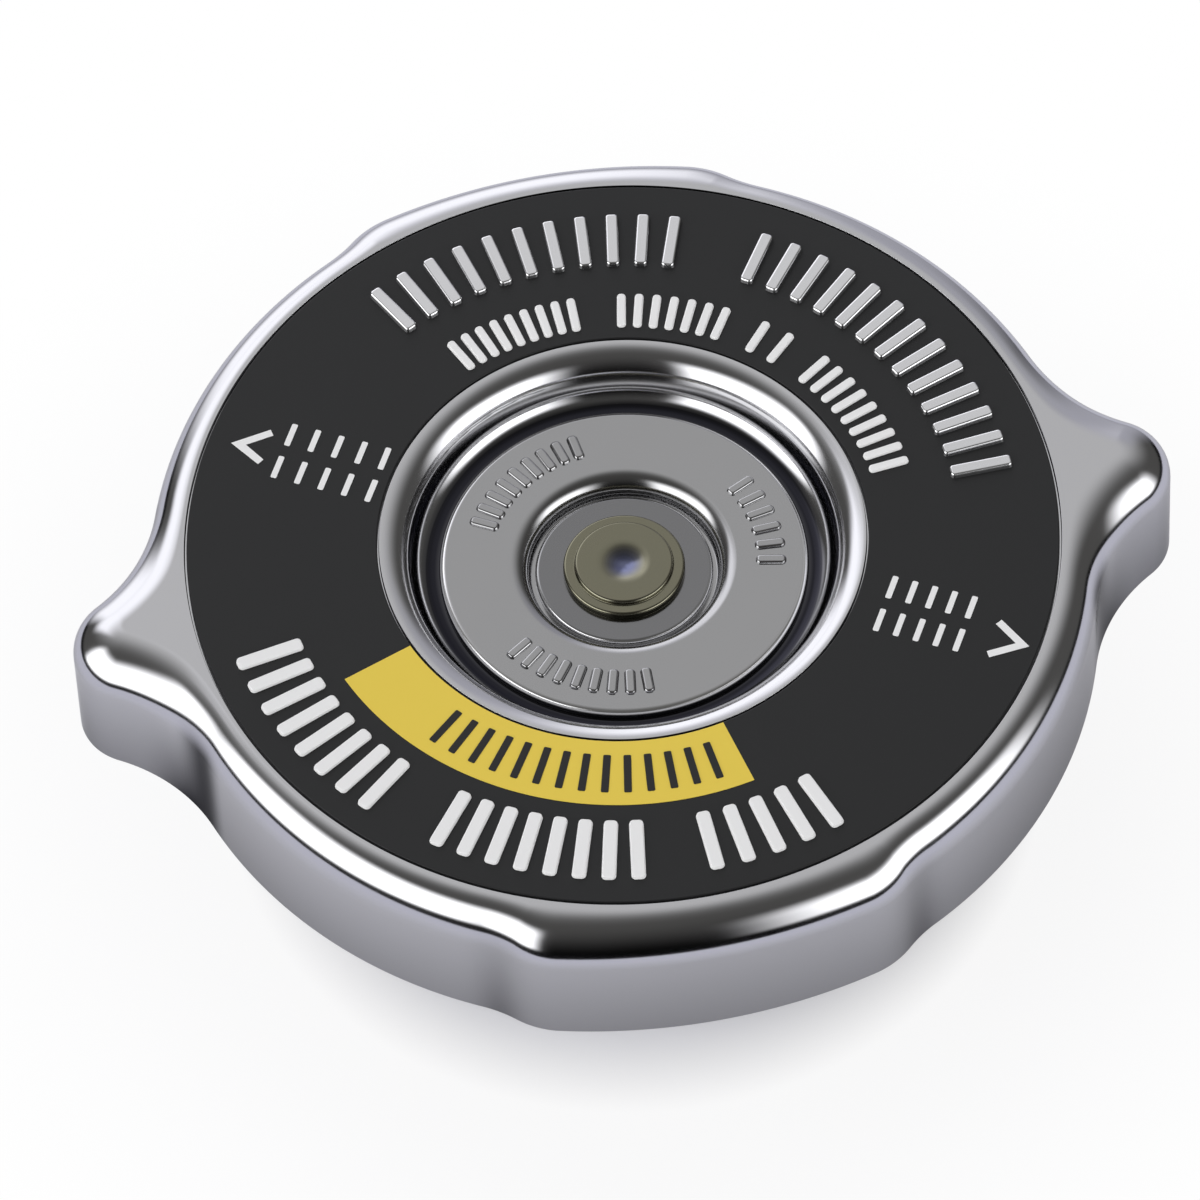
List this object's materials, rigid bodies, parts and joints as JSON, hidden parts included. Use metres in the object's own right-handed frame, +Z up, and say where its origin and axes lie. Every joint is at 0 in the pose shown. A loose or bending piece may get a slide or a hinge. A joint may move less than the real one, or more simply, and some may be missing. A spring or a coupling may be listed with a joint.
{
  "type": "radiator pressure cap",
  "caption": "Two-eared stamped radiator pressure cap with a black ring face, riveted centre disc, spring-loaded pressure valve, vacuum valve, rubber seals and inward cam lugs.",
  "frame": {"origin": "centre of the lower gasket's sealing face, on the cap's axis", "axes": "+Z up along the cap's axis towards its face, +X through the ears"},
  "size_m": [0.0732, 0.0632, 0.027],
  "materials": {
    "shell_chrome": "polished",
    "face_black": "satin",
    "disc_bright": "satin",
    "washer_bright": "satin",
    "rivet_nickel": "dull",
    "steel": "bright",
    "bell_brass": "bright",
    "spring_steel": "drawn wire",
    "seal_rubber": "moulded"
  },
  "bodies": {
    "shell": {"cap_shell": "shell_chrome", "face_plate": "face_black", "centre_disc": "disc_bright", "head_washer": "washer_bright"},
    "cage": {"rivet": "rivet_nickel", "clinch_washer": "steel", "diaphragm": "steel", "upper_gasket": "seal_rubber", "bell": "bell_brass", "pressure_spring": "spring_steel"},
    "pressure_valve": {"valve_cup": "bell_brass", "stem_guide": "steel", "backing_plate": "steel", "pressure_gasket": "seal_rubber", "gasket_retainer": "bell_brass", "vacuum_spring": "spring_steel"},
    "vacuum_valve": {"vacuum_valve": "bell_brass", "vacuum_seal": "seal_rubber", "stem_keeper": "steel"}
  },
  "joints": [
    {"name": "swivel", "type": "hinge", "parent": "shell", "child": "cage", "pos_m": [0, 0, 0.022], "axis": [0, 0, 1], "continuous": true},
    {"name": "pressure_lift", "type": "slide", "parent": "cage", "child": "pressure_valve", "axis": [0, 0, 1], "range_m": [0, 0.0045], "stiffness_N_per_m": 650, "springref_m": -0.0115, "deforming": ["pressure_spring"]},
    {"name": "vacuum_open", "type": "slide", "parent": "pressure_valve", "child": "vacuum_valve", "axis": [0, 0, 1], "range_m": [-0.0018, 0], "stiffness_N_per_m": 100, "springref_m": 0.003, "deforming": ["vacuum_spring"]}
  ]
}
